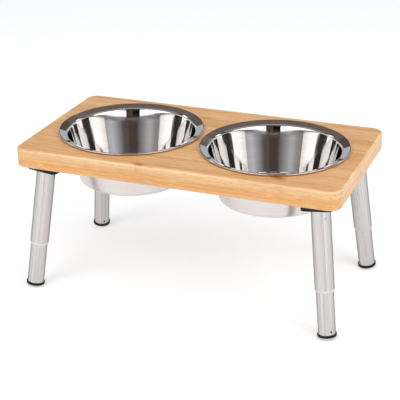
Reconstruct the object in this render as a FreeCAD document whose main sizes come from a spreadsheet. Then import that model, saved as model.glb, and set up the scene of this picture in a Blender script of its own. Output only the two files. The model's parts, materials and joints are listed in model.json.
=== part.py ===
# Raised feeding stand: a bamboo board holds two lift-out steel bowls on four splayed telescopic legs.
# Lengths are in millimetres and angles in degrees. +Z is up, +X runs along the board and -Y is the front.
# The origin is on the floor under the middle of the board.
import FreeCAD
import Part
import Sketcher
import math
import os
import re

# Driving dimensions
sizes = {
    # Board
    "board_length": 410.0,
    "board_width": 218.0,
    "board_thickness": 24.0,
    "board_corner_radius": 15.0,
    "board_top_round": 3.2,
    "board_bottom_round": 3.0,
    # Room for the bowls on the board
    "bowl_spacing": 190.0,
    "bowl_gap": 6.0,
    "bowl_end_margin": 18.0,
    "bowl_side_margin": 17.0,
    "bowl_hole_clearance": 3.0,
    "bowl_hole_break": 1.2,
    # Bowls, with depths taken from the top of the board
    "rim_bead_diameter": 3.2,
    "rim_gap": 0.1,
    "bead_join_angle": 165.0,
    "lip_width": 8.2,
    "lip_slope": 19.0,
    "bowl_neck_radius": 3.0,
    "bowl_wall_taper": 12.2,
    "bowl_depth": 62.4,
    "bowl_corner_radius": 5.8,
    "bowl_wall": 0.8,
    # Legs
    "leg_splay": 9.2,
    "corner_angle": 45.0,
    # Brackets
    "plate_margin": 10.9,
    "plate_border": 7.5,
    "plate_corner_radius": 6.0,
    "plate_thickness": 9.2,
    "spigot_length": 18.0,
    # Screws
    "screw_inset": 6.0,
    "screw_diameter": 3.5,
    "screw_length": 16.0,
    "screw_tip_length": 3.0,
    "screw_head_diameter": 7.0,
    "screw_head_height": 2.2,
    "screw_head_crown": 0.8,
    "screw_seat_depth": 3.0,
    # Rivets
    "rivet_drop": 11.5,
    "rivet_diameter": 3.0,
    "rivet_proud": 0.4,
    "rivet_round": 0.35,
    # Tubes
    "upper_tube_diameter": 23.2,
    "upper_tube_wall": 0.6,
    "upper_tube_length": 97.8,
    "lower_tube_wall": 1.0,
    "lower_tube_length": 80.8,
    "lower_tube_showing": 53.1,
    # Guide bushes
    "bush_length": 10.0,
    "bush_wall": 0.35,
    "bush_lip_height": 2.7,
    "bush_lip_edge": 0.35,
    # Twist locks
    "plug_length": 12.0,
    "plug_shoulder": 3.0,
    "plug_floor": 2.0,
    "sleeve_length": 17.6,
    "sleeve_mouth_wall": 3.5,
    "sleeve_slit": 2.0,
    "cone_collar": 1.0,
    "cone_length": 13.0,
    "cone_small_diameter": 10.0,
    "cone_key_recess": 1.6,
    "cone_travel": 3.0,
    "stud_diameter": 6.0,
    "stud_head_diameter": 9.0,
    "stud_head_height": 2.0,
    # Feet
    "foot_plug_length": 10.8,
    "foot_lip": 1.1,
    "foot_flange_height": 2.6,
    "foot_sole_height": 2.6,
    "nub_diameter": 2.4,
    "nub_height": 4.5,
    # Clearances
    "fit_clearance": 0.05,
    "running_clearance": 0.1,
    "turning_clearance": 0.2,
    "cut_overrun": 5.0,
}

# Places worked out from the driving dimensions. Stations count along a leg from the underside of the board.
places = {
    "room_between": "=bowl_spacing - bowl_gap",
    "room_along": "=board_length - bowl_spacing - 2 * bowl_end_margin",
    "room_across": "=board_width - 2 * bowl_side_margin",
    "rim_diameter": "=min(room_between; room_along; room_across)",
    "rim_radius": "=rim_diameter / 2 - rim_bead_diameter / 2",
    "bead_radius": "=rim_bead_diameter / 2",
    "bead_height": "=rim_gap + bead_radius",
    "lip_top": "=bead_height + bead_radius",
    "lip_end_radius": "=rim_radius - lip_width",
    "lip_end_height": "=lip_top - lip_width * tan(lip_slope)",
    "neck_middle_radius": "=lip_end_radius + bowl_neck_radius * sin(lip_slope)",
    "neck_middle_height": "=lip_end_height - bowl_neck_radius * cos(lip_slope)",
    "neck_outer_radius": "=bowl_neck_radius - bowl_wall",
    "wall_top_radius": "=neck_middle_radius - bowl_neck_radius * cos(bowl_wall_taper)",
    "wall_top_height": "=neck_middle_height + bowl_neck_radius * sin(bowl_wall_taper)",
    "bowl_hole_radius": "=wall_top_radius + bowl_wall + bowl_hole_clearance",
    "corner_height": "=bowl_corner_radius - bowl_depth",
    "wall_height": "=wall_top_height - corner_height",
    "corner_wall_radius": "=wall_top_radius - wall_height * tan(bowl_wall_taper)",
    "corner_middle": "=corner_wall_radius - bowl_corner_radius / cos(bowl_wall_taper)",
    "corner_outer_radius": "=bowl_corner_radius + bowl_wall",
    "plate_width": "=upper_tube_diameter + 2 * plate_border",
    "plate_reach": "=plate_width / sqrt(2)",
    "leg_inset": "=plate_margin + plate_width / 2",
    "leg_x": "=board_length / 2 - leg_inset",
    "leg_y": "=board_width / 2 - leg_inset",
    "screw_circle": "=(plate_width - 2 * screw_inset) / sqrt(2)",
    "screw_bore": "=screw_diameter / 2 + fit_clearance",
    "screw_reach": "=screw_length - screw_seat_depth",
    "upper_bore": "=upper_tube_diameter / 2 - upper_tube_wall",
    "spigot_radius": "=upper_bore - fit_clearance",
    "bush_bore": "=spigot_radius - bush_wall",
    "lower_radius": "=bush_bore - running_clearance",
    "lower_bore": "=lower_radius - lower_tube_wall",
    "rivet_at": "=plate_thickness + rivet_drop",
    "upper_tube_end": "=plate_thickness + upper_tube_length",
    "bush_top": "=upper_tube_end - bush_length",
    "lip_end": "=upper_tube_end + bush_lip_height",
    "lower_tube_end": "=lip_end + lower_tube_showing",
    "lower_tube_top": "=lower_tube_end - lower_tube_length",
    "plug_top": "=lower_tube_top - plug_shoulder",
    "plug_end": "=lower_tube_top + plug_length",
    "plug_radius": "=lower_bore - fit_clearance",
    "sleeve_end": "=plug_top - turning_clearance",
    "sleeve_top": "=sleeve_end - sleeve_length",
    "sleeve_radius": "=upper_bore - running_clearance",
    "sleeve_mouth": "=sleeve_radius - sleeve_mouth_wall",
    "cone_radius": "=sleeve_mouth - running_clearance",
    "cone_top": "=sleeve_top - cone_collar",
    "cone_end": "=cone_top + cone_length",
    "cone_bore": "=stud_diameter / 2 + running_clearance",
    "stud_seat": "=cone_top - cone_travel",
    "stud_top": "=stud_seat - stud_head_height",
    "stud_end": "=plug_end - plug_floor",
    "stud_bore": "=stud_diameter / 2 + fit_clearance",
    "foot_radius": "=lower_radius + foot_lip",
    "foot_flange_end": "=lower_tube_end + foot_flange_height",
    "foot_tip": "=foot_flange_end + foot_sole_height",
    "sole_radius": "=(foot_radius ^ 2 + foot_sole_height ^ 2) / (2 * foot_sole_height)",
    "nub_at": "=lower_tube_end - nub_height",
    "board_underside": "=(foot_tip - sole_radius) * cos(leg_splay) + sole_radius",
    "board_top": "=board_underside + board_thickness",
}

corners = {
    "front_left": (-1, -1),
    "front_right": (1, -1),
    "back_left": (-1, 1),
    "back_right": (1, 1),
}
full_turn = 360
half_turn = 180
quarter_turn = 90
screw_count = 4
match_share = 0.1

doc = FreeCAD.newDocument("raised_feeding_stand")
sheet = doc.addObject("Spreadsheet::Sheet", "sizes")
names = {**sizes, **places}
for row, (name, content) in enumerate(names.items(), start=1):
    sheet.set(f"A{row}", name)
    sheet.set(f"B{row}", str(content))
    sheet.setAlias(f"B{row}", name)
doc.recompute()


# Expressions that read the sheet
def bound(text):
    return re.sub("[a-z_]+", lambda word: f"sizes.{word[0]}" if word[0] in names else word[0], str(text))


def value(text):
    return float(sheet.evalExpression(bound(text)))


match_tolerance = match_share * value("fit_clearance")


# Sketches
def add_sketch(body, name, plane):
    sketch = body.newObject("Sketcher::SketchObject", name)
    support = next(feature for feature in body.Origin.OriginFeatures if feature.Role == plane)
    sketch.AttachmentSupport = (support, "")
    sketch.MapMode = "FlatFace"
    return sketch


def pin_point(sketch, geometry, point, place):
    for kind, axis, text in (("DistanceX", -2, place[0]), ("DistanceY", -1, place[1])):
        if text == 0:
            sketch.addConstraint(Sketcher.Constraint("PointOnObject", geometry, point, axis))
        else:
            made = sketch.addConstraint(Sketcher.Constraint(kind, -1, 1, geometry, point, value(text)))
            sketch.setExpression(f"Constraints[{made}]", bound(text))


def vector(place):
    return FreeCAD.Vector(value(place[0]), value(place[1]), 0)


# An arc as the sketch wants it, anticlockwise, and whether that turned it round
def make_arc(start, middle, end):
    circle = Part.Arc(start, middle, end).toShape().Curve
    clockwise = (middle - start).cross(end - middle).z < 0
    first, last = (end, start) if clockwise else (start, end)
    angles = [math.atan2(point.y - circle.Center.y, point.x - circle.Center.x) for point in (first, last)]
    upright = Part.Circle(circle.Center, FreeCAD.Vector(0, 0, 1), circle.Radius)
    return Part.ArcOfCircle(upright, *angles), clockwise


# A closed outline through the points. An entry of arcs bends the side that starts at that point: it gives a
# point on the way and the radius.
def add_outline(sketch, points, arcs=None):
    arcs = arcs or {}
    count = len(points)
    turned_round = set()
    for index, start in enumerate(points):
        end = points[(index + 1) % count]
        if index in arcs:
            side, flipped = make_arc(vector(start), vector(arcs[index][0]), vector(end))
            if flipped:
                turned_round.add(index)
        else:
            side = Part.LineSegment(vector(start), vector(end))
        sketch.addGeometry(side, False)

    def end_of(index, last):
        return 2 if last != (index in turned_round) else 1

    for index, start in enumerate(points):
        following = (index + 1) % count
        ends = (index, end_of(index, True), following, end_of(following, False))
        sketch.addConstraint(Sketcher.Constraint("Coincident", *ends))
        pin_point(sketch, index, end_of(index, False), start)
    for index, (_, radius) in arcs.items():
        made = sketch.addConstraint(Sketcher.Constraint("Radius", index, value(radius)))
        sketch.setExpression(f"Constraints[{made}]", bound(radius))


def add_circle(sketch, place, radius):
    made = sketch.addGeometry(Part.Circle(vector(place), FreeCAD.Vector(0, 0, 1), value(radius)), False)
    pin_point(sketch, made, 3, place)
    rule = sketch.addConstraint(Sketcher.Constraint("Radius", made, value(radius)))
    sketch.setExpression(f"Constraints[{rule}]", bound(radius))


def add_rectangle(sketch, low, high):
    add_outline(sketch, [low, (high[0], low[1]), high, (low[0], high[1])])


# Features
def add_body(label, place, yaw=0, pitch=0):
    body = doc.addObject("PartDesign::Body", label)
    base = "; ".join(bound(text) for text in place)
    body.setExpression("Placement", f"placement(vector({base}); rotation({bound(yaw)}; {bound(pitch)}; 0))")
    return body


def extrude(body, kind, sketch, length=None, side="One side", reversed_way=False):
    feature = body.newObject(f"PartDesign::{kind}", f"{sketch.Name}_{kind.lower()}")
    feature.Profile = sketch
    feature.SideType = side
    feature.Reversed = reversed_way
    if length is None:
        feature.Type = "ThroughAll"
    else:
        feature.setExpression("Length", bound(length))
    return feature


def revolve(body, points, arcs=None):
    profile = add_sketch(body, f"{body.Name}_profile", "XZ_Plane")
    add_outline(profile, points, arcs)
    feature = body.newObject("PartDesign::Revolution", f"{body.Name}_turn")
    feature.Profile = profile
    feature.ReferenceAxis = (profile, ["V_Axis"])
    feature.Angle = full_turn
    return feature


def round_edges(body, base, radius, chosen, kind="Fillet"):
    doc.recompute()
    edges = [f"Edge{index}" for index, edge in enumerate(base.Shape.Edges, start=1) if chosen(edge)]
    feature = body.newObject(f"PartDesign::{kind}", f"{base.Name}_{kind.lower()}")
    feature.Base = (base, edges)
    feature.setExpression("Radius" if kind == "Fillet" else "Size", bound(radius))
    return feature


def drill_across(body, name, station, radius):
    sketch = add_sketch(body, f"{body.Name}_{name}", "YZ_Plane")
    add_circle(sketch, (0, f"-{station}"), radius)
    return extrude(body, "Pocket", sketch, side="Symmetric")


def is_level(edge, height):
    box = edge.BoundBox
    return abs(box.ZMin - height) < match_tolerance and abs(box.ZMax - height) < match_tolerance


def is_upright(edge):
    box = edge.BoundBox
    return box.ZLength > match_tolerance and box.XLength + box.YLength < match_tolerance


# Board, with its sketch plane on the underside
def make_board():
    body = add_body("board", (0, 0, "board_underside"))
    outline = add_sketch(body, "board_outline", "XY_Plane")
    far_corner = ("board_length / 2", "board_width / 2")
    add_rectangle(outline, [f"-{side}" for side in far_corner], far_corner)
    panel = extrude(body, "Pad", outline, "board_thickness")
    rounded = round_edges(body, panel, "board_corner_radius", is_upright)
    thickness = value("board_thickness")
    upper = round_edges(body, rounded, "board_top_round", lambda edge: is_level(edge, thickness))
    round_edges(body, upper, "board_bottom_round", lambda edge: is_level(edge, 0))
    holes = add_sketch(body, "bowl_holes", "XY_Plane")
    for side in ("-", ""):
        add_circle(holes, (f"{side}bowl_spacing / 2", 0), "bowl_hole_radius")
    opened = extrude(body, "Pocket", holes, reversed_way=True)
    hole_radius = value("bowl_hole_radius")

    def is_hole_mouth(edge):
        if not hasattr(edge.Curve, "Radius") or abs(edge.Curve.Radius - hole_radius) > match_tolerance:
            return False
        return is_level(edge, 0) or is_level(edge, thickness)

    round_edges(body, opened, "bowl_hole_break", is_hole_mouth, "Chamfer")
    pilots = add_sketch(body, "screw_pilots", "XY_Plane")
    for across, along in corners.values():
        for turn in range(screw_count):
            angle = f"(corner_angle + {turn} * {full_turn} / {screw_count})"
            east = f"{across} * (leg_x + screw_circle * cos{angle})"
            north = f"{along} * (leg_y + screw_circle * sin{angle})"
            add_circle(pilots, (east, north), "screw_bore")
    extrude(body, "Pocket", pilots, "screw_reach + fit_clearance", reversed_way=True)


# Bowl, with its sketch plane on the top of the board
def make_bowl(label, side):
    body = add_body(label, (f"{side} * bowl_spacing / 2", 0, "board_top"))
    lean = "bowl_wall_taper"

    def on_neck(radius, turn):
        return (f"neck_middle_radius + {radius} * cos({turn})", f"neck_middle_height + {radius} * sin({turn})")

    lip_turn = f"{quarter_turn} + lip_slope"
    wall_turn = f"{half_turn} - {lean}"
    neck_turn = f"({lip_turn} + {wall_turn}) / 2"
    points = [
        ("rim_radius", "lip_top"),
        ("lip_end_radius", "lip_end_height"),
        ("wall_top_radius", "wall_top_height"),
        (f"corner_middle + bowl_corner_radius * cos({lean})",
         f"corner_height - bowl_corner_radius * sin({lean})"),
        ("corner_middle", "-bowl_depth"),
        (0, "-bowl_depth"),
        (0, "-bowl_depth - bowl_wall"),
        ("corner_middle", "-bowl_depth - bowl_wall"),
        (f"corner_middle + corner_outer_radius * cos({lean})",
         f"corner_height - corner_outer_radius * sin({lean})"),
        on_neck("neck_outer_radius", wall_turn),
        on_neck("neck_outer_radius", lip_turn),
        ("rim_radius + bead_radius * cos(bead_join_angle)",
         "bead_height + bead_radius * sin(bead_join_angle)"),
    ]
    corner_turn = f"(({lean} - {quarter_turn}) / 2 - {lean})"
    arcs = {
        1: (on_neck("bowl_neck_radius", neck_turn), "bowl_neck_radius"),
        3: ((f"corner_middle + bowl_corner_radius * cos{corner_turn}",
             f"corner_height + bowl_corner_radius * sin{corner_turn}"), "bowl_corner_radius"),
        7: ((f"corner_middle + corner_outer_radius * cos{corner_turn}",
             f"corner_height + corner_outer_radius * sin{corner_turn}"), "corner_outer_radius"),
        9: (on_neck("neck_outer_radius", neck_turn), "neck_outer_radius"),
        11: (("rim_radius + bead_radius", "bead_height"), "bead_radius"),
    }
    revolve(body, points, arcs)


# Leg frame: local -Z runs down the leg from the underside of the board, and local X points outwards
def leg_heading(corner):
    across, along = corners[corner]
    return f"{along} * corner_angle" if across > 0 else f"{along} * ({half_turn} - corner_angle)"


def leg_top(corner):
    across, along = corners[corner]
    return (f"{across} * leg_x", f"{along} * leg_y", "board_underside")


def add_leg_body(corner, piece):
    return add_body(f"{corner}_{piece}", leg_top(corner), leg_heading(corner), "-leg_splay")


def tilt_to_board(sketch, drop=0):
    base = f"vector(-{drop} * sin(leg_splay); 0; -{drop} * cos(leg_splay))"
    sketch.setExpression("AttachmentOffset", bound(f"placement({base}; rotation(0; leg_splay; 0))"))


def add_screw_circles(sketch, radius):
    for place in (("screw_circle", 0), (0, "screw_circle"), ("-screw_circle", 0), (0, "-screw_circle")):
        add_circle(sketch, place, radius)


def make_bracket(corner):
    body = add_leg_body(corner, "bracket")
    plate = add_sketch(body, f"{body.Name}_plate", "XY_Plane")
    tilt_to_board(plate)
    add_outline(plate, [("plate_reach", 0), (0, "plate_reach"), ("-plate_reach", 0), (0, "-plate_reach")])
    block = extrude(body, "Pad", plate, "plate_thickness + plate_reach", reversed_way=True)
    upright = FreeCAD.Vector(value("sin(leg_splay)"), 0, value("cos(leg_splay)"))

    def along_screws(edge):
        line = edge.Curve
        return line.TypeId == "Part::GeomLine" and line.Direction.cross(upright).Length < match_tolerance

    round_edges(body, block, "plate_corner_radius", along_screws)
    wedge = add_sketch(body, f"{body.Name}_wedge", "XY_Plane")
    wedge.setExpression("AttachmentOffset.Base.z", bound("-plate_thickness"))
    add_circle(wedge, (0, 0), "plate_width")
    extrude(body, "Pocket", wedge)
    bores = add_sketch(body, f"{body.Name}_screw_bores", "XY_Plane")
    tilt_to_board(bores)
    add_screw_circles(bores, "screw_bore")
    extrude(body, "Pocket", bores)
    recesses = add_sketch(body, f"{body.Name}_screw_recesses", "XY_Plane")
    tilt_to_board(recesses, "screw_seat_depth")
    add_screw_circles(recesses, "screw_head_diameter / 2 + turning_clearance")
    extrude(body, "Pocket", recesses)
    spigot = add_sketch(body, f"{body.Name}_spigot", "XY_Plane")
    spigot.setExpression("AttachmentOffset.Base.z", bound("-plate_thickness"))
    add_circle(spigot, (0, 0), "spigot_radius")
    extrude(body, "Pad", spigot, "spigot_length", reversed_way=True)
    drill_across(body, "rivet_hole", "rivet_at", "rivet_diameter / 2 + fit_clearance")


# Pan-head screws, upright, with their tips up in the board
def make_screws(corner):
    body = add_body(f"{corner}_bracket_screws", leg_top(corner), leg_heading(corner))
    centre = "screw_circle"
    seat = "-screw_seat_depth"
    head = f"{seat} - screw_head_height"
    points = [
        (centre, "screw_reach"),
        (f"{centre} + screw_diameter / 2", "screw_reach - screw_tip_length"),
        (f"{centre} + screw_diameter / 2", seat),
        (f"{centre} + screw_head_diameter / 2", seat),
        (f"{centre} + screw_head_diameter / 2", f"{head} + screw_head_crown"),
        (centre, head),
    ]
    crown = "screw_head_diameter / 2"
    crown_radius = f"(({crown}) ^ 2 + screw_head_crown ^ 2) / (2 * screw_head_crown)"
    lean = f"asin(({crown}) / ({crown_radius})) / 2"
    arcs = {4: ((f"{centre} + ({crown_radius}) * sin({lean})",
                 f"{head} + ({crown_radius}) * (1 - cos({lean}))"), crown_radius)}
    profile = add_sketch(body, f"{body.Name}_profile", "XZ_Plane")
    add_outline(profile, points, arcs)
    axis = profile.addGeometry(Part.LineSegment(vector(points[-1]), vector(points[0])), True)
    profile.addConstraint(Sketcher.Constraint("Coincident", axis, 1, len(points) - 1, 1))
    profile.addConstraint(Sketcher.Constraint("Coincident", axis, 2, 0, 1))
    screw = body.newObject("PartDesign::Revolution", f"{body.Name}_turn")
    screw.Profile = profile
    screw.ReferenceAxis = (profile, ["Axis0"])
    screw.Angle = full_turn
    doc.recompute()
    pattern = body.newObject("PartDesign::PolarPattern", f"{body.Name}_pattern")
    pattern.Originals = [screw]
    pattern.Axis = (next(part for part in body.Origin.OriginFeatures if part.Role == "Z_Axis"), [""])
    pattern.Angle = full_turn
    pattern.Occurrences = screw_count
    body.Tip = pattern


def make_tube(corner, piece, radius, bore, top, end):
    body = add_leg_body(corner, piece)
    revolve(body, [(bore, f"-{top}"), (radius, f"-{top}"), (radius, f"-{end}"), (bore, f"-{end}")])
    return body


def make_upper_tube(corner):
    outside = "upper_tube_diameter / 2"
    body = make_tube(corner, "upper_tube", outside, "upper_bore", "plate_thickness", "upper_tube_end")
    drill_across(body, "rivet_hole", "rivet_at", "rivet_diameter / 2 + fit_clearance")


def make_rivet(corner):
    body = add_leg_body(corner, "rivet")
    section = add_sketch(body, f"{body.Name}_section", "YZ_Plane")
    add_circle(section, (0, "-rivet_at"), "rivet_diameter / 2")
    pin = extrude(body, "Pad", section, "upper_tube_diameter + 2 * rivet_proud", side="Symmetric")
    round_edges(body, pin, "rivet_round", lambda edge: hasattr(edge.Curve, "Radius"))


def make_guide_bush(corner):
    body = add_leg_body(corner, "guide_bush")
    revolve(body, [
        ("bush_bore", "-bush_top"),
        ("spigot_radius", "-bush_top"),
        ("spigot_radius", "-upper_tube_end"),
        ("upper_tube_diameter / 2", "-upper_tube_end"),
        ("bush_bore + bush_lip_edge", "-lip_end"),
        ("bush_bore", "-lip_end"),
    ])


def make_lower_tube(corner):
    body = make_tube(corner, "lower_tube", "lower_radius", "lower_bore", "lower_tube_top", "lower_tube_end")
    drill_across(body, "nub_hole", "nub_at", "nub_diameter / 2 + fit_clearance")


def make_lock_plug(corner):
    body = add_leg_body(corner, "lock_plug")
    revolve(body, [
        ("stud_bore", "-plug_top"),
        ("lower_radius", "-plug_top"),
        ("lower_radius", "-lower_tube_top"),
        ("plug_radius", "-lower_tube_top"),
        ("plug_radius", "-plug_end"),
        (0, "-plug_end"),
        (0, "-stud_end"),
        ("stud_bore", "-stud_end"),
    ])


def make_lock_stud(corner):
    body = add_leg_body(corner, "lock_stud")
    revolve(body, [
        (0, "-stud_top"),
        ("stud_head_diameter / 2", "-stud_top"),
        ("stud_head_diameter / 2", "-stud_seat"),
        ("stud_diameter / 2", "-stud_seat"),
        ("stud_diameter / 2", "-stud_end"),
        (0, "-stud_end"),
    ])


def make_lock_cone(corner):
    body = add_leg_body(corner, "lock_cone")
    revolve(body, [
        ("cone_bore", "-cone_top"),
        ("cone_radius", "-cone_top"),
        ("cone_radius", "-sleeve_top"),
        ("cone_small_diameter / 2", "-cone_end"),
        ("cone_bore", "-cone_end"),
    ])
    key = add_sketch(body, f"{body.Name}_key", "YZ_Plane")
    root = "(cone_bore + cone_small_diameter / 2) / 2"
    add_rectangle(key, (root, "-cone_end"), ("sleeve_radius - cone_key_recess", "-sleeve_top"))
    extrude(body, "Pad", key, "sleeve_slit - 2 * turning_clearance", side="Symmetric")


def make_lock_sleeve(corner):
    body = add_leg_body(corner, "lock_sleeve")
    throat = "cone_small_diameter / 2 + running_clearance"
    revolve(body, [
        ("sleeve_mouth", "-sleeve_top"),
        ("sleeve_radius", "-sleeve_top"),
        ("sleeve_radius", "-sleeve_end"),
        (throat, "-sleeve_end"),
        (throat, "-cone_end"),
    ])
    slit = add_sketch(body, f"{body.Name}_slit", "XY_Plane")
    add_rectangle(slit, ("-sleeve_slit / 2", 0), ("sleeve_slit / 2", "upper_bore + cut_overrun"))
    extrude(body, "Pocket", slit)


def make_foot(corner):
    body = add_leg_body(corner, "foot")
    lean = "asin(foot_radius / sole_radius) / 2"
    points = [
        (0, "-(lower_tube_end - foot_plug_length)"),
        ("plug_radius", "-(lower_tube_end - foot_plug_length)"),
        ("plug_radius", "-lower_tube_end"),
        ("foot_radius", "-lower_tube_end"),
        ("foot_radius", "-foot_flange_end"),
        (0, "-foot_tip"),
    ]
    sole_middle = (f"sole_radius * sin({lean})", f"-foot_tip + sole_radius * (1 - cos({lean}))")
    revolve(body, points, {4: (sole_middle, "sole_radius")})
    nubs = add_sketch(body, f"{body.Name}_nubs", "YZ_Plane")
    add_circle(nubs, (0, "-nub_at"), "nub_diameter / 2")
    extrude(body, "Pad", nubs, "2 * lower_radius", side="Symmetric")


make_board()
make_bowl("left_bowl", -1)
make_bowl("right_bowl", 1)
leg_makers = (make_bracket, make_screws, make_upper_tube, make_rivet, make_guide_bush, make_lower_tube,
              make_lock_plug, make_lock_stud, make_lock_cone, make_lock_sleeve, make_foot)
for corner_name in corners:
    for make_piece in leg_makers:
        make_piece(corner_name)
doc.recompute()

# Every feature has to be sound before anything is written
for item in doc.Objects:
    if "Invalid" in item.State or "Error" in item.State:
        raise RuntimeError(f"{item.Name} failed: {item.State}")
bodies = [item for item in doc.Objects if item.TypeId == "PartDesign::Body"]
for body in bodies:
    if body.Shape.isNull() or not body.Shape.isValid():
        raise RuntimeError(f"{body.Label} has no sound shape")
os.makedirs("parts", exist_ok=True)
for body in bodies:
    body.Shape.exportStep(f"parts/{body.Label}.step")
    print(f"{body.Label}: {len(body.Shape.Solids)} solids, {body.Shape.Volume:.0f} mm3")
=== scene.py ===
import json
import math

import bpy
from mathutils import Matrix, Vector


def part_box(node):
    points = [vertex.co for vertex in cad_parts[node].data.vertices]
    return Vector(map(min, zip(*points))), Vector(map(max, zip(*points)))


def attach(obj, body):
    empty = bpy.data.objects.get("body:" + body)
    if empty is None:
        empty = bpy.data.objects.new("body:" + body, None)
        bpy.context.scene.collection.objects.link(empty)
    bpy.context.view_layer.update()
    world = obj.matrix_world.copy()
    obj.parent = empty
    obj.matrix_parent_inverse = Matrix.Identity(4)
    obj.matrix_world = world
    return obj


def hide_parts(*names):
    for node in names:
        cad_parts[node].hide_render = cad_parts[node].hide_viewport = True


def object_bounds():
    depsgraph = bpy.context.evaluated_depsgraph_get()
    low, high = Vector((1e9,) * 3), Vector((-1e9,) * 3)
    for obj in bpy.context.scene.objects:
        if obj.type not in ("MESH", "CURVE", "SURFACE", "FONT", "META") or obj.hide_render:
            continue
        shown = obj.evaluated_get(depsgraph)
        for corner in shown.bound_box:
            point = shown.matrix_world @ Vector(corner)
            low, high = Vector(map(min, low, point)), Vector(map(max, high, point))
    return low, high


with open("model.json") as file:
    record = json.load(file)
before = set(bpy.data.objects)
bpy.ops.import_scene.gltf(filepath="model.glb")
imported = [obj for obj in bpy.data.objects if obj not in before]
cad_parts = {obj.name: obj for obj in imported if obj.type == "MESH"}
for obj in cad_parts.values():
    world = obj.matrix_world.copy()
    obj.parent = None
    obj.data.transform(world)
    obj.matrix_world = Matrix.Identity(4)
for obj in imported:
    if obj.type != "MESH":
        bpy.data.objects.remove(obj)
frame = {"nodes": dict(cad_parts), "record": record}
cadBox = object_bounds()
nodes = frame["nodes"]
corners = {"front_left": (-1, -1), "front_right": (1, -1), "back_left": (-1, 1), "back_right": (1, 1)}
white = (1, 1, 1)
noiseSpan = (0.3, 0.7)  # most of a noise lies between these
print("frame loaded:", len(nodes), "nodes")


# Node trees
def setInputs(tree, node, inputs):
    for name, given in inputs.items():
        socket = node.inputs[name]
        if isinstance(given, bpy.types.NodeSocket):
            tree.links.new(given, socket)
        else:
            socket.default_value = given


def addNode(tree, kind, inputs=None, **settings):
    made = tree.nodes.new(kind)
    for name, setting in settings.items():
        setattr(made, name, setting)
    setInputs(tree, made, inputs or {})
    return made


def addMath(tree, operation, *values):
    return addNode(tree, "ShaderNodeMath", dict(enumerate(values)), operation=operation).outputs[0]


def centred(tree, value, share):
    return addMath(tree, "MULTIPLY", addMath(tree, "SUBTRACT", value, 0.5), share)


def reverse(tree, share):
    return addMath(tree, "SUBTRACT", 1.0, share)


def addVector(tree, operation, *values, output="Vector"):
    given = dict(enumerate(values))
    return addNode(tree, "ShaderNodeVectorMath", given, operation=operation).outputs[output]


def addScale(tree, vector, factor):
    given = {0: vector, "Scale": factor}
    return addNode(tree, "ShaderNodeVectorMath", given, operation="SCALE").outputs["Vector"]


def splitVector(tree, vector):
    return addNode(tree, "ShaderNodeSeparateXYZ", {0: vector}).outputs


def joinVector(tree, *parts):
    return addNode(tree, "ShaderNodeCombineXYZ", dict(enumerate(parts))).outputs[0]


def opaque(colour):
    return (*colour, 1)


def addMix(tree, factor, first, second, blend="MIX"):
    first, second = (opaque(side) if isinstance(side, tuple) else side for side in (first, second))
    given = {0: factor, 6: first, 7: second}
    return addNode(tree, "ShaderNodeMix", given, data_type="RGBA", blend_type=blend).outputs[2]


def addRamp(tree, factor, stops):
    made = addNode(tree, "ShaderNodeValToRGB", {0: factor})
    made.color_ramp.interpolation = "EASE"
    elements = made.color_ramp.elements
    for index, (place, colour) in enumerate(stops):
        stop = elements[index] if index < len(elements) else elements.new(place)
        stop.position = place
        stop.color = opaque(colour)
    return made.outputs[0]


def addRange(tree, value, low, high, newLow=0.0, newHigh=1.0):
    given = {0: value, 1: low, 2: high, 3: newLow, 4: newHigh}
    return addNode(tree, "ShaderNodeMapRange", given, interpolation_type="SMOOTHSTEP").outputs[0]


def addNoise(tree, place, scale, detail, rough=0.5):
    given = {"Vector": place, "Scale": scale, "Detail": detail, "Roughness": rough}
    return addNode(tree, "ShaderNodeTexNoise", given).outputs[0]


def addBump(tree, height, strength, distance):
    given = {"Height": height, "Strength": strength, "Distance": distance}
    return addNode(tree, "ShaderNodeBump", given).outputs[0]


def objectPlace(tree, move=(0, 0, 0), turn=(0, 0, 0)):
    place = addNode(tree, "ShaderNodeTexCoord").outputs["Object"]
    given = {"Vector": place, "Location": move, "Rotation": turn}
    return addNode(tree, "ShaderNodeMapping", given, vector_type="TEXTURE").outputs[0]


def surfaceNormal(tree):
    return addNode(tree, "ShaderNodeNewGeometry").outputs["Normal"]


def newMaterial(name):
    made = bpy.data.materials.new(name)
    made.use_nodes = True
    tree = made.node_tree
    return made, tree, tree.nodes["Principled BSDF"]


def newObject(name, data):
    made = bpy.data.objects.new(name, data)
    bpy.context.scene.collection.objects.link(made)
    return made


# Studio
studio = {
    "cameraPlace": (0.48916, -1.24350, 0.50865),  # from the middle of the board's top
    "cameraTurn": (66.0975, 0.6846, 21.3026),  # degrees
    "lens": 103.81,
    "sensor": 36.0,
    "floorSize": 60.0,
    "floorColour": (0.80, 0.80, 0.80),
    "floorRough": 0.9,
    "floorLift": 0.36,  # share of plain white that the floor adds to its lit colour
    "ambient": (0.56, 0.565, 0.58),
    "cardReach": 9.0,
    "farCards": {"roof": 11.0, "backRoof": 10.0},  # these stand behind the others
    "cardStep": 3.0,  # degrees between the points of a card
}
lamps = {
    "keyLeft": {"azimuth": -28, "elevation": 32, "reach": 2.2, "size": 1.5, "power": 16},
    "keyRight": {"azimuth": 68, "elevation": 32, "reach": 2.2, "size": 1.5, "power": 20},
    "overhead": {"azimuth": 0, "elevation": 84, "reach": 2.4, "size": 2.2, "power": 9},
}
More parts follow.
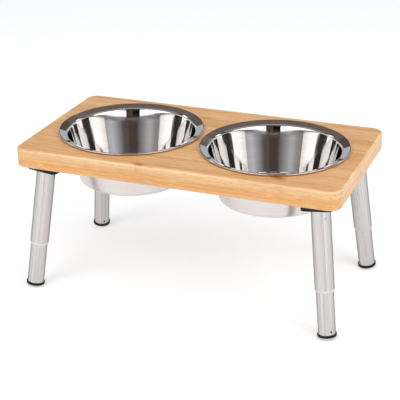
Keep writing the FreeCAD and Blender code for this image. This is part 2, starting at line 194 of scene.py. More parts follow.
# Cards that only reflections see. In each row: the bearings of its two ends, in degrees from straight behind
# the stand as the camera sees it, its lower and upper edges there, and its glow, or two to fade between.
cards = {
    "roof": ((-180, 180), (20, 20), (90, 90), (0.05, 0.045, 0.042)),
    "backCard": ((-20, 20), (-1, -1), (18.5, 18.5), (0.50, 0.52, 0.57)),
    "dimCard": ((-16, 16), (18.5, 18.5), (32, 32), (0.105, 0.081, 0.071)),
    "backRoof": ((-30.5, 30.5), (32, 32), (70, 70), (0.17, 0.135, 0.115)),
    "overhead": ((-180, 180), (70, 70), (90, 90), (0.48, 0.44, 0.43)),
    "middleSoftbox": ((-14.5, 14.5), (40.2, 40.2), (44.4, 44.4), (2.2, 2.16, 2.10)),
    "leftShade": ((-16, -36), (18.5, 10), (32, 31.1), (0.15, 0.11, 0.10), (0.166, 0.146, 0.139)),
    "leftFade": ((-36, -62), (10, -1), (31.1, 30), (0.166, 0.146, 0.139), (0.55, 0.545, 0.565)),
    "leftGrey": ((-62, -82), (-1, -1), (30, 28.7), (0.55, 0.545, 0.565), (0.85, 0.845, 0.90)),
    "leftGap": ((-82, -104), (-1, -1), (28.7, 26.6), (0.85, 0.845, 0.90), (0.70, 0.68, 0.69)),
    "rightShade": ((16, 60), (18.5, -1), (32, 30.1), (0.145, 0.115, 0.108), (0.69, 0.68, 0.70)),
    "rightGrey": ((60, 70), (-1, -1), (30.1, 29.5), (0.70, 0.69, 0.71)),
    "rightFade": ((70, 86), (-1, -1), (29.5, 28.4), (0.70, 0.69, 0.71), (0.47, 0.46, 0.475)),
    "rightGap": ((86, 104), (-1, -1), (28.4, 26.6), (0.46, 0.44, 0.45), (0.42, 0.39, 0.39)),
    "leftFootGap": ((-180, -167.5), (-1, -1), (8, 8), (0.008, 0.005, 0.003)),
    "rightFootGap": ((167.5, 180), (-1, -1), (8, 8), (0.07, 0.06, 0.05)),
}
sideCards = {  # each stands on the right, and mirrored on the left
    "softboxEdge": ((104, 130), (-1, -1), (31, 32), (1.38, 1.31, 1.27), (1.90, 1.84, 1.79)),
    "softbox": ((130, 157), (-1, -1), (32, 33), (1.90, 1.84, 1.79), (2.0, 1.95, 1.91)),
    "softboxFoot": ((157, 167.5), (-1, -1), (8, 8), (2.0, 1.95, 1.91)),
    "softboxHead": ((157, 166), (19, 19), (33, 33), (2.0, 1.95, 1.91)),
    "lowGap": ((157, 180), (8, 8), (19, 19), (0.10, 0.09, 0.085), (0.05, 0.043, 0.04)),
    "headGap": ((166, 180), (19, 19), (33, 33), (0.03, 0.025, 0.02)),
    "highSoftbox": ((30.5, 61), (36.4, 32.5), (42.2, 39), (2.2, 2.16, 2.10)),
    "sideRoof": ((30.5, 116), (46, 46), (70, 70), (0.42, 0.37, 0.35)),
    "ceiling": ((116, 180), (44, 44), (70, 70), (0.22, 0.19, 0.18)),
}
for name, ((near, far), *rest) in sideCards.items():
    cards[name + "Right"] = ((near, far), *rest)
    cards[name + "Left"] = ((-near, -far), *rest)


def seenDirectly(tree):
    path = addNode(tree, "ShaderNodeLightPath").outputs
    direct = addMath(tree, "ADD", path["Is Camera Ray"], path["Is Glossy Ray"])
    given = {0: direct, 1: path["Is Transmission Ray"]}
    return addNode(tree, "ShaderNodeMath", given, operation="ADD", use_clamp=True).outputs[0]


def makeCamera():
    data = bpy.data.cameras.new("camera")
    data.lens = studio["lens"]
    data.sensor_width = studio["sensor"]
    camera = newObject("camera", data)
    camera.location = Vector((0, 0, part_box("board")[1].z)) + Vector(studio["cameraPlace"])
    camera.rotation_euler = [math.radians(angle) for angle in studio["cameraTurn"]]
    bpy.context.scene.camera = camera


def makeFloor():
    half = studio["floorSize"] / 2
    points = [(half * east, half * north, 0) for east, north in ((-1, -1), (1, -1), (1, 1), (-1, 1))]
    mesh = bpy.data.meshes.new("floor")
    mesh.from_pydata(points, [], [(0, 1, 2, 3)])
    floor = newObject("floor", mesh)
    made, tree, shader = newMaterial("floorPaper")
    setInputs(tree, shader, {
        "Base Color": opaque(studio["floorColour"]),
        "Roughness": studio["floorRough"],
        "Specular IOR Level": 0.0,
        "Emission Color": opaque(white),
        "Emission Strength": addMath(tree, "MULTIPLY", seenDirectly(tree), studio["floorLift"]),
    })
    made.cycles.emission_sampling = "NONE"
    mesh.materials.append(made)


def aimed(bearing, elevation):
    flat = math.cos(elevation)
    return Vector((math.sin(bearing) * flat, math.cos(bearing) * flat, math.sin(elevation)))


def cardSteps(ends):
    count = max(1, round(abs(ends[1] - ends[0]) / studio["cardStep"]))
    return [index / count for index in range(count + 1)]


def between(ends, share):
    return ends[0] + (ends[1] - ends[0]) * share


def cardMesh(name, bearings, low, high, glow, reach):
    across = cardSteps(bearings)
    upward = cardSteps((min(low), max(high)))
    points, tints, faces = [], [], []
    for rise in upward:
        for share in across:
            bearing = math.radians(between(bearings, share) - studio["cameraTurn"][2])
            edges = (between(low, share), between(high, share))
            points.append(aimed(bearing, math.radians(between(edges, rise))) * reach)
            tints.append([between(ends, share) for ends in zip(*glow)])
    wide = len(across)
    for row in range(len(upward) - 1):
        for index in range(row * wide, (row + 1) * wide - 1):
            faces.append((index, index + 1, index + wide + 1, index + wide))
    mesh = bpy.data.meshes.new(name)
    mesh.from_pydata(points, [], faces)
    tinted = mesh.attributes.new("glow", "FLOAT_VECTOR", "POINT")
    for index, tint in enumerate(tints):
        tinted.data[index].vector = tint
    return mesh


def makeCards():
    for name, (bearings, low, high, *glow) in cards.items():
        reach = studio["farCards"].get(name, studio["cardReach"])
        mesh = cardMesh(name, bearings, low, high, (glow[0], glow[-1]), reach)
        card = newObject(name, mesh)
        made, tree, shader = newMaterial(name)
        tree.nodes.remove(shader)
        read = addNode(tree, "ShaderNodeAttribute", attribute_name="glow").outputs["Vector"]
        shone = addNode(tree, "ShaderNodeEmission", {"Color": read}).outputs[0]
        setInputs(tree, tree.nodes["Material Output"], {"Surface": shone})
        made.cycles.emission_sampling = "NONE"
        mesh.materials.append(made)
        for kind in ("camera", "diffuse", "transmission", "volume_scatter", "shadow"):
            setattr(card, f"visible_{kind}", False)


def makeLamps():
    aim = (cadBox[0] + cadBox[1]) / 2
    for name, values in lamps.items():
        away = aimed(math.pi - math.radians(values["azimuth"]), math.radians(values["elevation"]))
        data = bpy.data.lights.new(name, "AREA")
        data.size = values["size"]
        data.energy = values["power"]
        lamp = newObject(name, data)
        lamp.location = aim + away * values["reach"]
        lamp.rotation_euler = away.to_track_quat("Z", "Y").to_euler()
        lamp.visible_glossy = False


def makeWorld():
    world = bpy.data.worlds.new("studio")
    world.use_nodes = True
    tree = world.node_tree
    colour = addMix(tree, seenDirectly(tree), studio["ambient"], white)
    setInputs(tree, tree.nodes["Background"], {"Color": colour})
    bpy.context.scene.world = world


makeCamera()
makeFloor()
makeCards()
makeLamps()
makeWorld()
bpy.context.scene.view_settings.view_transform = "Standard"
print("studio set")

# Bamboo board
bamboo = {
    "pale": (0.865, 0.55, 0.27),
    "middle": (0.775, 0.425, 0.175),
    "deep": (0.61, 0.295, 0.105),
    "upperEdge": (0.815, 0.53, 0.265),  # the long sides of the upper ply
    "lowerEdge": (0.86, 0.455, 0.162),
    "nodeBrown": (0.36, 0.135, 0.05),
    "markBrown": (0.40, 0.125, 0.04),
    "fleck": (0.66, 0.29, 0.085),
    "cloud": (0.70, 0.35, 0.135),
    "eased": (0.93, 0.65, 0.37),  # painted highlight along the rounded edges of the board
    "faceStops": (0.22, 0.50, 0.80),  # levels of the deep, middle and pale tones
    "edgeStops": (0.20, 0.50, 0.80),
    "edgeStreaks": ((0.80, 0.72, 0.62), white, (1.10, 1.14, 1.20)),  # times the colours of the edges
    "stripWidth": 0.0205,
    "stripWobble": 0.0016,
    "plySeam": 0.0100,  # below the top
    "plyBlend": 0.0002,
    "plyShift": 0.4,  # share of a strip between the two plies
    "plySeed": 7.0,  # gives the lower ply its own strips
    "seamWidth": 0.0005,
    "nodeSpacing": 0.36,
    "nodePhase": 0.103,
    "marks": [(-0.0385, -0.1040, 0.85), (0.128, -0.0885, 0.95), (-0.0215, 0.0705, 0.45)],  # x, y, how brown
    "markSize": (0.0105, 0.0042),
    "markWander": 1.6,
    "ground": 0.5,  # level that the strips and streaks swing about
    "swings": {"strip": 0.20, "broad": 1.20, "fine": 0.95},
    # how strong the painted edge highlight, the glue lines and the ply seam are
    "shares": {"eased": 0.85, "glue": 0.14, "seam": 0.45},
    "lacquer": 0.25,
    "lacquerRough": 0.22,
    "relief": (0.20, 0.00012),
    "noises": {  # stretch along and across the board, detail, roughness
        "wobble": (4.0, 16.0, 1.0, 0.5),
        "broad": (3.0, 170.0, 3.0, 0.55),
        "fine": (9.0, 900.0, 3.0, 0.6),
        "vessels": (34.0, 1500.0, 2.0, 0.5),
        "pores": (40.0, 1300.0, 2.0, 0.6),
        "cloud": (7.0, 13.0, 2.0, 0.5),
        "flecks": (62.0, 560.0, 3.0, 0.6),
        "wander": (90.0, 260.0, 3.0, 0.6),
    },
    "ranges": {  # where each starts and ends, and what that becomes if it isn't 0 and 1
        "upright": (0.80, 0.45),
        # these two pick out the rounded edges that get the painted highlight
        "roundFoot": (0.25, 0.55),
        "roundHead": (0.97, 0.75),
        "ends": (0.72, 0.95),
        "pores": (0.36, 0.62, 0.80, 1.06),
        "cloud": (0.40, 0.66, 0.0, 0.42),
        "fleckDark": (0.52, 0.70, 0.0, 0.75),
        "fleckPale": (0.48, 0.32, 0.0, 0.55),
        "vessels": (0.60, 0.74, 0.0, 0.34),
        "glue": (0.965, 0.995),
        "node": (0.0065, 0.0012),
        "nodeDepth": (0.25, 1.0, 0.04, 0.34),
        "mark": (1.25, 0.15),
        "rough": (*noiseSpan, 0.35, 0.46),
    },
}


def boardNoise(tree, place, name):
    along, across, detail, rough = bamboo["noises"][name]
    return addNoise(tree, addVector(tree, "MULTIPLY", place, (along, across, across)), 1.0, detail, rough)


def boardRange(tree, value, name):
    return addRange(tree, value, *bamboo["ranges"][name])


def addStrips(tree, place, across, ply):
    wide = bamboo["stripWidth"]
    wobble = boardNoise(tree, place, "wobble")
    across = addMath(tree, "ADD", across, centred(tree, wobble, bamboo["stripWobble"]))
    across = addMath(tree, "ADD", across, addMath(tree, "MULTIPLY", ply, wide * bamboo["plyShift"]))
    counted = addMath(tree, "DIVIDE", across, wide)
    strip = addMath(tree, "FLOOR", counted)
    seed = joinVector(tree, strip, addMath(tree, "MULTIPLY", ply, bamboo["plySeed"]))
    share = addMath(tree, "FRACT", counted)
    within = addMath(tree, "ABSOLUTE", centred(tree, share, 2.0))  # 1 at a glue line
    return seed, within


def addTone(tree, level, ply, upward, upright):
    tones = (bamboo[name] for name in ("deep", "middle", "pale"))
    face = addRamp(tree, level, zip(bamboo["faceStops"], tones))
    edge = addMix(tree, ply, bamboo["upperEdge"], bamboo["lowerEdge"])
    streak = addRamp(tree, level, zip(bamboo["edgeStops"], bamboo["edgeStreaks"]))
    edge = addMix(tree, 1.0, edge, streak, "MULTIPLY")
    colour = addMix(tree, upright, face, edge)
    # painted highlight: the rounded edges are mixed towards a pale colour
    rounded = (boardRange(tree, upward, name) for name in ("roundFoot", "roundHead"))
    highlighted = addMath(tree, "MULTIPLY", addMath(tree, "MULTIPLY", *rounded), bamboo["shares"]["eased"])
    return addMix(tree, highlighted, colour, bamboo["eased"])


def addJoints(tree, along, offset, ply):
    along = addMath(tree, "DIVIDE", along, bamboo["nodeSpacing"])
    along = addMath(tree, "ADD", along, addMath(tree, "ADD", offset[0], bamboo["nodePhase"]))
    away = addMath(tree, "ABSOLUTE", addMath(tree, "SUBTRACT", addMath(tree, "FRACT", along), 0.5))
    joint = boardRange(tree, away, "node")
    joint = addMath(tree, "MULTIPLY", joint, boardRange(tree, offset[1], "nodeDepth"))
    return addMath(tree, "MULTIPLY", joint, reverse(tree, ply))


def addMark(tree, place, mark, wander):
    x, y, brown = mark
    long, wide = bamboo["markSize"]
    away = addVector(tree, "SUBTRACT", place, (x, y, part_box("board")[1].z))
    away = addVector(tree, "MULTIPLY", away, (1 / long, 1 / wide, 1 / wide))
    far = addVector(tree, "LENGTH", away, output="Value")
    far = addMath(tree, "ADD", far, centred(tree, wander, bamboo["markWander"]))
    return addMath(tree, "MULTIPLY", boardRange(tree, far, "mark"), brown)


def makeBamboo():
    made, tree, shader = newMaterial("lacqueredBamboo")
    swings, shares = bamboo["swings"], bamboo["shares"]
    place = objectPlace(tree)
    x, y, z = splitVector(tree, place)
    facing = splitVector(tree, surfaceNormal(tree))
    endward, upward = (addMath(tree, "ABSOLUTE", facing[axis]) for axis in ("X", "Z"))
    upright = boardRange(tree, upward, "upright")
    depth = addMath(tree, "SUBTRACT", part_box("board")[1].z, z)
    ply = addRange(tree, depth, *(bamboo["plySeam"] + bamboo["plyBlend"] * side for side in (-1, 1)))
    seed, within = addStrips(tree, place, y, ply)
    drawn = addNode(tree, "ShaderNodeTexWhiteNoise", {"Vector": seed}, noise_dimensions="2D").outputs
    offset = addNode(tree, "ShaderNodeSeparateColor", {0: drawn["Color"]}).outputs
    lined = addVector(tree, "ADD", place, seed)
    streaks = ("broad", "fine", "vessels", "flecks")
    broad, fine, vessels, flecks = (boardNoise(tree, lined, name) for name in streaks)
    pores, cloud, wander = (boardNoise(tree, place, name) for name in ("pores", "cloud", "wander"))
    level = centred(tree, drawn["Value"], swings["strip"])
    for noise, name in ((broad, "broad"), (fine, "fine")):
        level = addMath(tree, "ADD", level, centred(tree, noise, swings[name]))
    level = addMath(tree, "ADD", level, bamboo["ground"])
    colour = addTone(tree, level, ply, upward, upright)
    ends = addMath(tree, "MULTIPLY", boardRange(tree, endward, "ends"), upright)
    colour = addMix(tree, ends, colour, addScale(tree, colour, boardRange(tree, pores, "pores")))
    colour = addMix(tree, boardRange(tree, cloud, "cloud"), colour, bamboo["cloud"])
    colour = addMix(tree, boardRange(tree, flecks, "fleckDark"), colour, bamboo["fleck"])
    colour = addMix(tree, boardRange(tree, flecks, "fleckPale"), colour, bamboo["pale"])
    colour = addMix(tree, boardRange(tree, vessels, "vessels"), colour, bamboo["deep"])
    glue = addMath(tree, "MULTIPLY", boardRange(tree, within, "glue"), reverse(tree, upright))
    colour = addMix(tree, addMath(tree, "MULTIPLY", glue, shares["glue"]), colour, bamboo["deep"])
    colour = addMix(tree, addJoints(tree, x, offset, ply), colour, bamboo["nodeBrown"])
    for mark in bamboo["marks"]:
        colour = addMix(tree, addMark(tree, place, mark, wander), colour, bamboo["markBrown"])
    seam = addMath(tree, "ABSOLUTE", addMath(tree, "SUBTRACT", depth, bamboo["plySeam"]))
    seam = addMath(tree, "MULTIPLY", addRange(tree, seam, bamboo["seamWidth"], 0.0), upright)
    colour = addMix(tree, addMath(tree, "MULTIPLY", seam, shares["seam"]), colour, bamboo["deep"])
    relief = addMath(tree, "SUBTRACT", fine, addMath(tree, "ADD", seam, glue))
    setInputs(tree, shader, {
        "Base Color": colour,
        "Roughness": boardRange(tree, fine, "rough"),
        "Coat Weight": bamboo["lacquer"],
        "Coat Roughness": bamboo["lacquerRough"],
        "Normal": addBump(tree, relief, *bamboo["relief"]),
    })
    return made


# Turned shapes, made by spinning a profile about an upright axis
socketKinds = {
    "geometry": "Geometry", "count": "Int", "size": "Float",
    "place": "Vector", "finish": "Material", "piece": "Object",
}
weld = 1e-6  # closes the seam and the ends of a turned shape


def newTree(name, inputs):
    tree = bpy.data.node_groups.new(name, "GeometryNodeTree")
    for label, kind in {"Geometry": "geometry", **inputs}.items():
        tree.interface.new_socket(label, in_out="INPUT", socket_type=f"NodeSocket{socketKinds[kind]}")
    tree.interface.new_socket("Geometry", in_out="OUTPUT", socket_type="NodeSocketGeometry")
    return tree, tree.nodes.new("NodeGroupInput").outputs, tree.nodes.new("NodeGroupOutput").inputs


def endTree(tree, geometry, finish, result):
    whole = addNode(tree, "GeometryNodeRealizeInstances", {"Geometry": geometry}).outputs[0]
    given = {"Geometry": whole, "Material": finish}
    made = addNode(tree, "GeometryNodeSetMaterial", given).outputs[0]
    tree.links.new(made, result[0])


def applyTree(piece, tree, values):
    modifier = piece.modifiers.new(tree.name, "NODES")
    modifier.node_group = tree
    for socket in tree.interface.items_tree:
        if socket.in_out == "INPUT" and socket.name in values:
            modifier[socket.identifier] = values[socket.name]
    graph = bpy.context.evaluated_depsgraph_get()
    mesh = bpy.data.meshes.new_from_object(piece.evaluated_get(graph))
    piece.modifiers.clear()
    piece.data = mesh
    mesh.name = piece.name


def addTurning(tree, profile, around, centre):
    rows = addNode(tree, "GeometryNodeAttributeDomainSize", {0: profile}).outputs["Point Count"]
    given = {"Vertices X": addMath(tree, "ADD", around, 1), "Vertices Y": rows}
    sheet = addNode(tree, "GeometryNodeMeshGrid", given).outputs["Mesh"]
    index = addNode(tree, "GeometryNodeInputIndex").outputs[0]
    offset = addMath(tree, "ADD", index, 0.5)  # the half keeps the division off whole numbers
    column = addMath(tree, "FLOOR", addMath(tree, "DIVIDE", offset, rows))
    row = addMath(tree, "SUBTRACT", index, addMath(tree, "MULTIPLY", column, rows))
    place = addNode(tree, "GeometryNodeInputPosition").outputs[0]
    given = {"Geometry": profile, "Value": place, "Index": row}
    taken = addNode(tree, "GeometryNodeSampleIndex", given, data_type="FLOAT_VECTOR").outputs[0]
    point = splitVector(tree, taken)
    turn = addMath(tree, "DIVIDE", addMath(tree, "MULTIPLY", column, math.tau), around)
    ways = [addMath(tree, kind, turn) for kind in ("COSINE", "SINE")]
    east, north = (addMath(tree, "MULTIPLY", point["X"], way) for way in ways)
    moved = addVector(tree, "ADD", joinVector(tree, east, north, point["Z"]), centre)
    placed = addNode(tree, "GeometryNodeSetPosition", {"Geometry": sheet, "Position": moved}).outputs[0]
    return addNode(tree, "GeometryNodeMergeByDistance", {"Geometry": placed, "Distance": weld}).outputs[0]


def turnedTree():
    tree, given, result = newTree("turnedShape", {"Around": "count", "Centre": "place", "Finish": "finish"})
    solid = addTurning(tree, given["Geometry"], given["Around"], given["Centre"])
    smooth = addNode(tree, "GeometryNodeSetShadeSmooth", {"Geometry": solid}).outputs[0]
    endTree(tree, smooth, given["Finish"], result)
    return tree


def lineObject(name, points, lined=True):
    edges = [(index, index + 1) for index in range(len(points) - 1)] if lined else []
    mesh = bpy.data.meshes.new(name)
    mesh.from_pydata(points, edges, [])
    return newObject(name, mesh)


def arc(middle, radius, first, last, steps):
    turns = [math.radians(first + (last - first) * step / steps) for step in range(steps + 1)]
    return [(middle[0] + radius * math.cos(turn), 0, middle[1] + radius * math.sin(turn)) for turn in turns]


# Spun steel bowls
steel = {
    "inside": (0.74, 0.735, 0.73),
    # the outside is the same steel, painted darker and warmer: painted reflection of the shaded bamboo board
    # above it
    "outside": (0.68, 0.635, 0.615),
    "outward": 0.004,  # how far a face looks away from the bowl's axis before it counts as outside
    "insideRough": 0.04,
    "outsideRough": 0.20,
    "roughSwing": 0.03,
    "tone": (0.96, 1.03),
    "spun": 1.0,  # how far the gloss is drawn out across the spinning lines
    "spunTurn": 0.25,  # of a full turn
    "lineScale": 2600.0,
    "waveSize": 9,  # spinning lines in a wave
    "detail": 2.0,
    "relief": (0.012, 0.0001),
}
bowl = {
    "around": 240,
    "wall": 0.0008,
    "bead": 0.0012,  # radius of the rolled edge
    "rollEnd": -190,  # degrees
    "lip": (0.0082, 0.0033),  # inward and downward, from the top of the rolled edge to the lip's inner end
    "lipTurns": (21.5, 22.5),  # slope of the lip at the rolled edge and at its inner end, in degrees
    "neck": (0.0102, 0.0057),  # inward and downward, from the top of the rolled edge to the top of the wall
    "taper": 12.2,  # of the wall from upright
    "corner": 0.0036,
    "floorRings": (0, 0.25, 0.5, 0.75),  # shares of the flat floor
    "wallRings": (0.12, 0.3, 0.5, 0.7, 0.85, 0.96),  # shares of the wall's height
    "steps": {"roll": 28, "corner": 12, "neck": 10, "lip": 8},
}


def bendLine(start, startTurn, end, endTurn, steps):
    first, last = (math.tan(math.radians(turn)) for turn in (startTurn, endTurn))
    meet = (end[1] - start[1] + first * start[0] - last * end[0]) / (first - last)  # where the slopes meet
    middle = (meet, start[1] + first * (meet - start[0]))
    line = []
    for t in (step / steps for step in range(steps + 1)):
        points = zip(start, middle, end)
        reach, height = ((1 - t) ** 2 * a + 2 * t * (1 - t) * b + t * t * c for a, b, c in points)
        line.append((reach, 0, height))
    return line


def offsetLine(points, distance):
    moved = []
    for index, point in enumerate(points):
        before, after = points[max(index - 1, 0)], points[min(index + 1, len(points) - 1)]
        along = Vector((after[0] - before[0], after[2] - before[2])).normalized()
        moved.append((max(point[0] + along.y * distance, 0), 0, point[2] - along.x * distance))
    return moved


def bowlProfile(low, high):
    wall, bead, corner, taper, steps = (bowl[name] for name in ("wall", "bead", "corner", "taper", "steps"))
    rim, top, floor = (high.x - low.x) / 2 - bead, high.z, low.z + wall
    lipEnd, wallTop = ((rim - bowl[name][0], top - bowl[name][1]) for name in ("lip", "neck"))
    lipStart, lipFoot = bowl["lipTurns"]
    lean = math.radians(taper)
    wallHigh = wallTop[1] - floor - corner
    wallLow = wallTop[0] - wallHigh * math.tan(lean)
    middle = wallLow - corner / math.cos(lean)
    rolled = arc((rim, top - bead), bead, 90 + lipStart, bowl["rollEnd"], steps["roll"])
    inner = [(middle * share, 0, floor) for share in bowl["floorRings"]]
    inner += arc((middle, floor + corner), corner, -90, -taper, steps["corner"])
    inner += [(wallLow + (wallTop[0] - wallLow) * share, 0, floor + corner + wallHigh * share)
              for share in bowl["wallRings"]]
    inner += bendLine(wallTop, 90 - taper, lipEnd, lipFoot, steps["neck"])
    lip = bendLine(lipEnd, lipFoot, (rolled[0][0], rolled[0][2]), lipStart, steps["lip"])[1:-1]
    outer = offsetLine(inner + lip[:-1], wall)
    return inner + lip + rolled + outer[::-1]


def makeSteel(name, middle):
    made, tree, shader = newMaterial(name)
    place = objectPlace(tree, move=middle)
    x, y, z = splitVector(tree, place)
    reach = addMath(tree, "ADD", *(addMath(tree, "POWER", side, 2.0) for side in (x, y)))
    ring = joinVector(tree, addMath(tree, "SQRT", reach), z)
    lines = addNoise(tree, ring, steel["lineScale"], steel["detail"])
    waves = addNoise(tree, ring, steel["lineScale"] / steel["waveSize"], steel["detail"])
    flat = addVector(tree, "MULTIPLY", place, (1, 1, 0))
    outward = addVector(tree, "DOT_PRODUCT", surfaceNormal(tree), flat, output="Value")
    outside = addRange(tree, outward, 0.0, steel["outward"])
    # the outside colour carries the painted reflection and shade of the board
    colour = addMix(tree, outside, steel["inside"], steel["outside"])
    rough = addRange(tree, outside, 0.0, 1.0, steel["insideRough"], steel["outsideRough"])
    setInputs(tree, shader, {
        "Base Color": addScale(tree, colour, addRange(tree, waves, *noiseSpan, *steel["tone"])),
        "Metallic": 1.0,
        "Roughness": addMath(tree, "ADD", rough, centred(tree, waves, steel["roughSwing"])),
        "Anisotropic": steel["spun"],
        "Anisotropic Rotation": steel["spunTurn"],
        "Tangent": addNode(tree, "ShaderNodeTangent", direction_type="RADIAL", axis="Z").outputs[0],
        "Normal": addBump(tree, lines, *steel["relief"]),
    })
    return made


def makeBowls():
    tree = turnedTree()
    for side in ("left", "right"):
        node = f"{side}_bowl"
        low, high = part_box(node)
        centre = Vector(((low.x + high.x) / 2, (low.y + high.y) / 2, 0))
        piece = lineObject(f"spunBowl.{side}", bowlProfile(low, high))
        finish = makeSteel(f"spunSteel.{side}", centre)
        applyTree(piece, tree, {"Around": bowl["around"], "Centre": centre, "Finish": finish})
        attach(piece, node)
        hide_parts(node)


# Legs
aluminium = {
    "pale": (0.64, 0.612, 0.607),
    "grey": (0.46, 0.44, 0.44),
    "stops": (0.34, 0.64),  # levels of the grey and the pale tone
    "edge": (0.20, 0.20, 0.21),  # seen along the surface
    "rough": (0.35, 0.25),
    "lines": {"stretch": (900.0, 900.0, 4.0), "detail": 3.0, "rough": 0.6, "share": 0.7},
    "hairs": {"stretch": (3600.0, 3600.0, 12.0), "detail": 2.0, "rough": 0.5, "share": 0.3},
    "relief": (0.06, 0.00012),
}
moulded = {  # colour, roughness, gloss, scale of the grain and its depth
    "black_plastic": ((0.012, 0.011, 0.011), 0.44, 0.22, 2600, 0.10),
    "bush_plastic": ((0.74, 0.73, 0.72), 0.42, 0.5, 1800, 0.04),
    "lock_plastic": ((0.20, 0.20, 0.21), 0.48, 0.5, 2000, 0.06),
    "foot_rubber": ((0.009, 0.009, 0.009), 0.50, 0.16, 1500, 0.14),
}
moulding = {
    "cloudSize": 40,  # grains in a cloud
    "cloudShare": 0.8,
    "detail": 2.0,
    "tone": (0.86, 1.12),
    "roughSwing": 0.05,
    "relief": 0.0002,
}
plated = {  # colour, roughness
    "rivet_aluminium": ((0.62, 0.615, 0.62), 0.36),
    "zinc_steel": ((0.60, 0.60, 0.59), 0.34),
}
plating = {"cloudScale": 420.0, "detail": 3.0, "shade": 0.84, "stops": (0.35, 0.65), "roughSwing": 0.06}
joints = {joint["name"]: joint for joint in frame["record"]["behaviour"]["joints"]}


def legFrame(corner):
    twist = joints[f"{corner}_leg_twist"]
    up = -Vector(twist["axis"]).normalized()
    return Vector(twist["pos_m"]), up


def finishName(slot):
    first, *rest = slot.split("_")
    return first + "".join(word.title() for word in rest)


def drawnLines(tree, place, values):
    stretched = addVector(tree, "MULTIPLY", place, values["stretch"])
    lines = addNoise(tree, stretched, 1.0, values["detail"], values["rough"])
    return addMath(tree, "MULTIPLY", lines, values["share"])


def makeAluminium(corner):
    made, tree, shader = newMaterial(f"drawnAluminium.{corner}")
    top, up = legFrame(corner)
    place = objectPlace(tree, move=top, turn=up.to_track_quat("Z", "Y").to_euler())
    level = addMath(tree, "ADD", *(drawnLines(tree, place, aluminium[name]) for name in ("lines", "hairs")))
    setInputs(tree, shader, {
        "Base Color": addRamp(tree, level, zip(aluminium["stops"], (aluminium["grey"], aluminium["pale"]))),
        "Metallic": 1.0,
        "Specular Tint": opaque(aluminium["edge"]),
        "Roughness": addRange(tree, level, *noiseSpan, *aluminium["rough"]),
        "Normal": addBump(tree, level, *aluminium["relief"]),
    })
    return made


def makeMoulded(slot):
    colour, rough, gloss, scale, depth = moulded[slot]
    made, tree, shader = newMaterial(finishName(slot))
    place = objectPlace(tree)
    grain = addNoise(tree, place, scale, moulding["detail"])
    cloud = addNoise(tree, place, scale / moulding["cloudSize"], moulding["detail"])
    level = addMath(tree, "ADD", centred(tree, cloud, moulding["cloudShare"]), grain)
    swing = moulding["roughSwing"]
    setInputs(tree, shader, {
        "Base Color": addScale(tree, colour, addRange(tree, level, *noiseSpan, *moulding["tone"])),
        "Roughness": addRange(tree, cloud, *noiseSpan, rough - swing, rough + swing),
        "Specular IOR Level": gloss,
        "Normal": addBump(tree, grain, depth, moulding["relief"]),
    })
    return made


def makePlated(slot):
    colour, rough = plated[slot]
    made, tree, shader = newMaterial(finishName(slot))
    cloud = addNoise(tree, objectPlace(tree), plating["cloudScale"], plating["detail"])
    shade = tuple(plating["shade"] * part for part in colour)
    swing = plating["roughSwing"]
    setInputs(tree, shader, {
        "Base Color": addRamp(tree, cloud, zip(plating["stops"], (shade, colour))),
        "Metallic": 1.0,
        "Roughness": addRange(tree, cloud, *noiseSpan, rough + swing, rough - swing),
    })
    return made


# Turned fasteners, set on points that carry the way each one faces
rivet = {
    "around": 28,
    "tubeRadius": 0.0116,
    "head": 0.00195,
    "rise": 0.00055,
    "dimple": 0.00085,
    "sunk": 0.00045,
    "dimpleFloor": 0.6,  # share of the dimple
    "dimpleWall": ((0.85, 0.75), (1.1, 1.0)),  # shares of the dimple and of the rise
    "dome": ((0.72, 0.9), (0.92, 0.55), (1.0, 0.1), (0.98, -0.6), (0.0, -0.6)),  # of the head and the rise
    "slot": 0.001,
    "slotWidth": 0.001,
    "slotDepth": 0.0,  # leaves the head without a slot
}
screw = {
    "around": 36,
    "head": 0.0035,
    "headRise": 0.0022,
    "crown": 0.0008,
    "crownTurns": (15, 30, 45, 60, 75),  # degrees
    "shank": 0.00175,
    "tip": 0.003,
    "point": (0.12, 0.0001),  # share of the shank, and how far below the end
    "slot": 0.0040,
    "slotWidth": 0.0009,
    "slotDepth": 0.0013,
}
fastenerSizes = {"Around": "around", "Slot": "slot", "Slot Width": "slotWidth", "Slot Depth": "slotDepth"}


def fastenerTree():
    inputs = {
        "Profile": "piece", "Around": "count", "Slot": "size",
        "Slot Width": "size", "Slot Depth": "size", "Finish": "finish",
    }
    tree, given, result = newTree("setFasteners", inputs)
    outline = addNode(tree, "GeometryNodeObjectInfo", {"Object": given["Profile"]}).outputs["Geometry"]
    turned = addTurning(tree, outline, given["Around"], (0, 0, 0))
    cut = addNode(tree, "GeometryNodeMeshBoolean", {"Mesh 1": turned}, operation="DIFFERENCE")
    deep = addMath(tree, "MULTIPLY", given["Slot Depth"], 2.0)  # half of each bar is above the head
    for first, second in (("Slot", "Slot Width"), ("Slot Width", "Slot")):
        size = joinVector(tree, given[first], given[second], deep)
        bar = addNode(tree, "GeometryNodeMeshCube", {"Size": size}).outputs["Mesh"]
        tree.links.new(bar, cut.inputs["Mesh 2"])
    depth = {0: given["Slot Depth"], 1: 0.0}
    slotted = addNode(tree, "FunctionNodeCompare", depth, operation="GREATER_THAN").outputs[0]
    choice = {"Switch": slotted, "False": turned, "True": cut.outputs["Mesh"]}
    chosen = addNode(tree, "GeometryNodeSwitch", choice, input_type="GEOMETRY").outputs[0]
    named = {"Name": "aim"}
    aim = addNode(tree, "GeometryNodeInputNamedAttribute", named, data_type="FLOAT_VECTOR").outputs[0]
    facing = addNode(tree, "FunctionNodeAlignRotationToVector", {"Vector": aim}, axis="Z").outputs[0]
    placing = {"Points": given["Geometry"], "Instance": chosen, "Rotation": facing}
    spread = addNode(tree, "GeometryNodeInstanceOnPoints", placing).outputs[0]
    endTree(tree, spread, given["Finish"], result)
    return tree


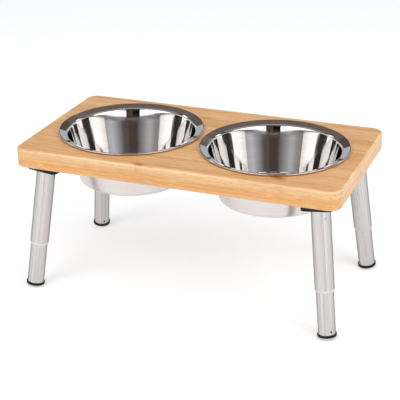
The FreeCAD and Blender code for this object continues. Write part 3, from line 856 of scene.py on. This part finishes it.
def rivetPlaces(corner):
    low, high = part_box(f"{corner}_rivet")
    up = legFrame(corner)[1]
    heading = Vector((*corners[corner], 0)).normalized()
    out = (heading - up * heading.dot(up)).normalized()
    return [((low + high) / 2 + out * side * rivet["tubeRadius"], out * side) for side in (-1, 1)]


def rivetProfile():
    head, rise, dimple = rivet["head"], rivet["rise"], rivet["dimple"]
    sunk = rise - rivet["sunk"]
    profile = [(0, 0, sunk), (dimple * rivet["dimpleFloor"], 0, sunk)]
    profile += [(dimple * out, 0, rise * up) for out, up in rivet["dimpleWall"]]
    return profile + [(head * out, 0, rise * up) for out, up in rivet["dome"]]


def screwPlaces(corner):
    low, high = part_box(f"{corner}_bracket_screws")
    middle, reach = (low + high) / 2, (high.x - low.x) / 2 - screw["head"]
    ways = [(east, north) for east in (-1, 1) for north in (-1, 1)]
    return [((middle.x + reach * east, middle.y + reach * north, low.z), (0, 0, 1)) for east, north in ways]


def screwProfile():
    low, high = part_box("back_right_bracket_screws")
    head, rise, crown, shank = (screw[name] for name in ("head", "headRise", "crown", "shank"))
    length, (pointShare, pointRise) = high.z - low.z, screw["point"]
    turns = [math.radians(turn) for turn in screw["crownTurns"]]
    profile = [(0, 0, length), (shank * pointShare, 0, length - pointRise)]
    profile += [(shank, 0, length - screw["tip"]), (shank, 0, rise), (head, 0, rise), (head, 0, crown)]
    profile += [(head * math.cos(turn), 0, crown * (1 - math.sin(turn))) for turn in turns]
    profile += [(0, 0, 0)]
    return profile[::-1]


def setFasteners(tree, name, part, slot, places, profile, sizes):
    outline = lineObject(f"{name}.profile", profile)
    piece = lineObject(name, [place for place, aim in places], lined=False)
    aims = piece.data.attributes.new("aim", "FLOAT_VECTOR", "POINT")
    for index, (place, aim) in enumerate(places):
        aims.data[index].vector = aim
    values = {label: sizes[key] for label, key in fastenerSizes.items()}
    applyTree(piece, tree, {"Profile": outline, "Finish": finishes[slot], **values})
    bpy.data.objects.remove(outline)
    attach(piece, "stand")
    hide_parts(*[f"{corner}_{part}" for corner in corners])


def makeFasteners():
    tree = fastenerTree()
    places = [place for corner in corners for place in rivetPlaces(corner)]
    setFasteners(tree, "popRivets", "rivet", "rivet_aluminium", places, rivetProfile(), rivet)
    places = [place for corner in corners for place in screwPlaces(corner)]
    setFasteners(tree, "bracketScrews", "bracket_screws", "zinc_steel", places, screwProfile(), screw)


finishes = {"bamboo": makeBamboo()}
finishes.update({slot: makePlated(slot) for slot in plated})
finishes.update({slot: makeMoulded(slot) for slot in moulded})
tubes = {corner: makeAluminium(corner) for corner in corners}
slots = {entry["node"]: entry["material_slot"] for entry in frame["record"]["subparts"]}
for name, piece in nodes.items():
    if slots[name] == "bowl_steel":
        continue
    if slots[name] == "tube_aluminium":
        made = next(tubes[corner] for corner in corners if name.startswith(corner))
    else:
        made = finishes[slots[name]]
    piece.data.materials.clear()
    piece.data.materials.append(made)
print("finishes set")
makeBowls()
makeFasteners()
print("bowls and fasteners made")
